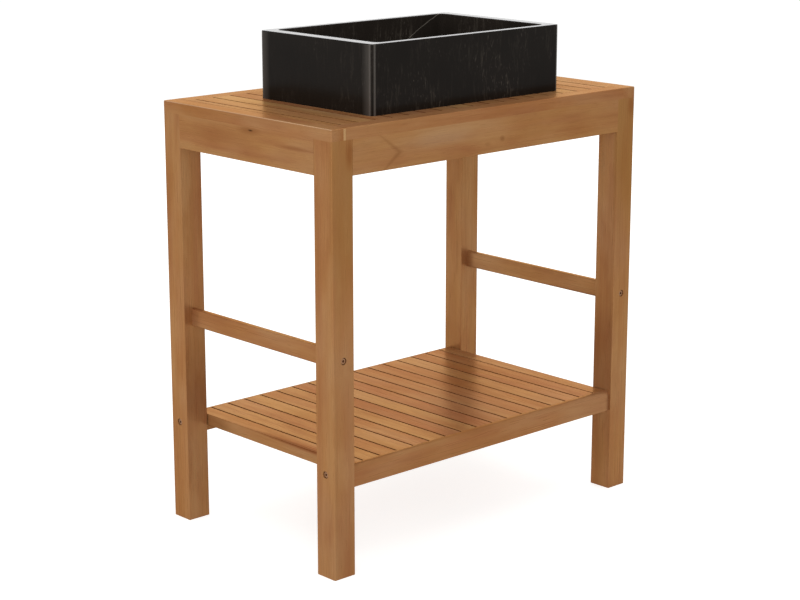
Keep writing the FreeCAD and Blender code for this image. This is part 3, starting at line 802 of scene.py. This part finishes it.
corners = [(x * FLOOR_HALF, y * FLOOR_HALF, 0) for x, y in ((-1, -1), (1, -1), (1, 1), (-1, 1))]
floor_mesh = bpy.data.meshes.new("floor")
floor_mesh.from_pydata(corners, [], [(0, 1, 2, 3)])
floor = bpy.data.objects.new("floor", floor_mesh)
bpy.context.scene.collection.objects.link(floor)
ground = new_finish("pale_floor")
lift = add(ground.tree, "Math", {0: seen_by_eye(ground.tree), 1: FLOOR_LIFT}, operation="MULTIPLY").outputs[0]
matt = add(ground.tree, "BsdfDiffuse", {"Color": linear(FLOOR_COLOUR)}).outputs[0]
glow = add(ground.tree, "Emission", {"Color": (1, 1, 1, 1), "Strength": lift}).outputs[0]
both = add(ground.tree, "AddShader", {0: matt, 1: glow}).outputs[0]
ground.tree.links.new(both, ground.output.inputs["Surface"])
floor_mesh.materials.append(ground.material)
print("floor", 2 * FLOOR_HALF, "m square")

# %% [markdown]
# Round the floor lies a plain white surround. A picture of a studio could take its place, but it would be a
# file of its own. It gives less than half of the light that it shows, so that the lamps can model the stand.

# %% Surround
SURROUND = 0.45
world = bpy.data.worlds.new("soft_surround")
bpy.context.scene.world = world
world.use_nodes = True
sky = world.node_tree
sky.nodes.clear()
level = add(sky, "MapRange", {"Value": seen_by_eye(sky), "To Min": SURROUND, "To Max": 1.0}).outputs["Result"]
white = add(sky, "Background", {"Color": (1, 1, 1, 1), "Strength": level}).outputs[0]
sky.links.new(white, add(sky, "OutputWorld").inputs["Surface"])
print("surround gives", SURROUND, "of white")

# %% [markdown]
# ## The studio: lamps
# A photographer would use soft boxes, and so does this scene: four rectangles of light. The strongest stands
# behind on the right, opposite the camera, and skims the satin top and the basin's rim. A narrow one draws
# the left faces, one behind the camera fills the front, and one overhead lights the strip before the basin.
# A single lamp would leave hard shadows that the real stand doesn't show.

# %% Soft lamps
# Name, place, aim and size in metres, and power in watts.
LAMPS = (
    ("back_lamp", (3.0, 3.2, 2.1), (0, 0, 0.7), (4.5, 3.4), 56),
    ("left_lamp", (-3.2, 0.1, 1.1), (0, 0, 0.6), (0.9, 2.1), 11),
    ("front_lamp", (-3.2, -3.4, 1.9), (0, 0, 0.5), (2.5, 2.5), 33),
    ("top_lamp", (0, 0, 3.3), (0, 0, 0.8), (4.0, 4.0), 37),
)


def soft_lamp(name, place, target, size, watts):
    """Rectangular soft light aimed at a point and hidden from the camera."""
    data = bpy.data.lights.new(name, "AREA")
    data.shape = "RECTANGLE"
    data.size, data.size_y = size
    data.energy = watts
    lamp = bpy.data.objects.new(name, data)
    lamp.location = place
    lamp.rotation_mode = "QUATERNION"
    lamp.rotation_quaternion = (Vector(target) - Vector(place)).to_track_quat("-Z", "Y")
    lamp.visible_camera = False
    bpy.context.scene.collection.objects.link(lamp)


for lamp_row in LAMPS:
    soft_lamp(*lamp_row)
print("lamps:", [(name, watts) for name, place, target, size, watts in LAMPS])

# %% [markdown]
# ## Camera
# A camera could be set by eye until the picture looks right. Here it was fitted: its place, its turn, how far
# it looks down and its lens bring the stand's corners closest to those in the photograph.

# %% Camera
CAMERA_PLACE = (-2.4537, -2.6265, 1.2818)
CAMERA_TURN = math.radians(42.92)
CAMERA_DOWN = math.radians(13.99)
LENS_MM = 90.31
SENSOR_MM = 36.0
SIGHT_END = 200.0
camera_data = bpy.data.cameras.new("camera")
camera_data.sensor_width = SENSOR_MM
camera_data.lens = LENS_MM
camera_data.clip_end = SIGHT_END
camera = bpy.data.objects.new("camera", camera_data)
camera.location = CAMERA_PLACE
camera.rotation_euler = (math.pi / 2 - CAMERA_DOWN, 0, -CAMERA_TURN)
bpy.context.scene.collection.objects.link(camera)
bpy.context.scene.camera = camera
bpy.context.scene.view_settings.view_transform = "Standard"
print("camera at", CAMERA_PLACE, "with a lens of", LENS_MM, "mm")
